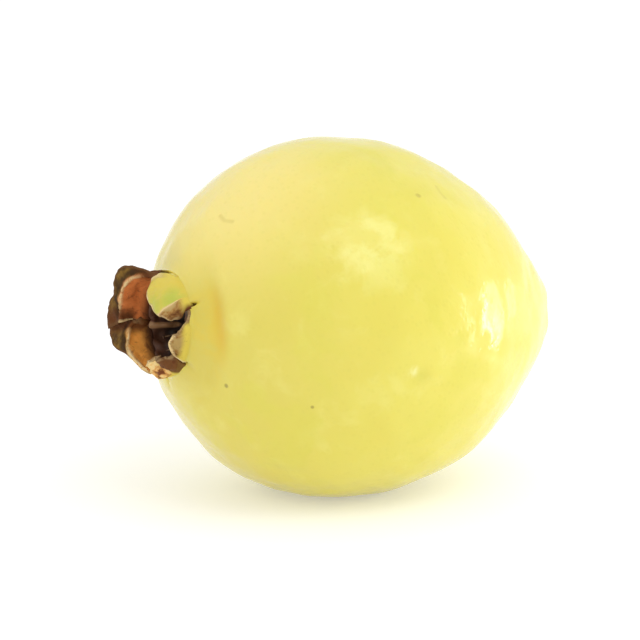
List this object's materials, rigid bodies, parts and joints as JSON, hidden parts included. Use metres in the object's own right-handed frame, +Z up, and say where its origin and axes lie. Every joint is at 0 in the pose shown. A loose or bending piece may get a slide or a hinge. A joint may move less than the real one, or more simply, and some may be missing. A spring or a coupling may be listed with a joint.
{
  "type": "guava",
  "caption": "Whole ripe guava lying on its side, egg-shaped with a cupped dried calyx at one end and a corky stalk stub at the other; stays put on a small flat spot.",
  "frame": {"origin": "centre of the small flat spot on the fruit's side that it rests on", "axes": "+Z up; +X along the fruit towards its stalk end, the flower's cup facing -X; +Y across, to the left when looking along +X"},
  "size_m": [0.0684, 0.0537, 0.0535],
  "materials": {
    "skin": "waxy, faintly glossy pale yellow skin",
    "sepal": "dry, leathery, green-yellow where it joins the skin",
    "dried_flower": "dry and dark",
    "stamen": "dry and wiry",
    "cork": "corky, with a dark ring round a paler core"
  },
  "bodies": {
    "root": {"fruit": "skin", "sepal_near_upper": "sepal", "sepal_near_lower": "sepal", "sepal_bottom": "sepal", "sepal_far_lower": "sepal", "sepal_far_upper": "sepal", "flower_disc": "dried_flower", "style_stub": "dried_flower", "stamen_1": "stamen", "stamen_2": "stamen", "stamen_3": "stamen", "stamen_4": "stamen", "stamen_5": "stamen", "stamen_6": "stamen", "stamen_7": "stamen", "stalk_stub": "cork"}
  },
  "joints": []
}
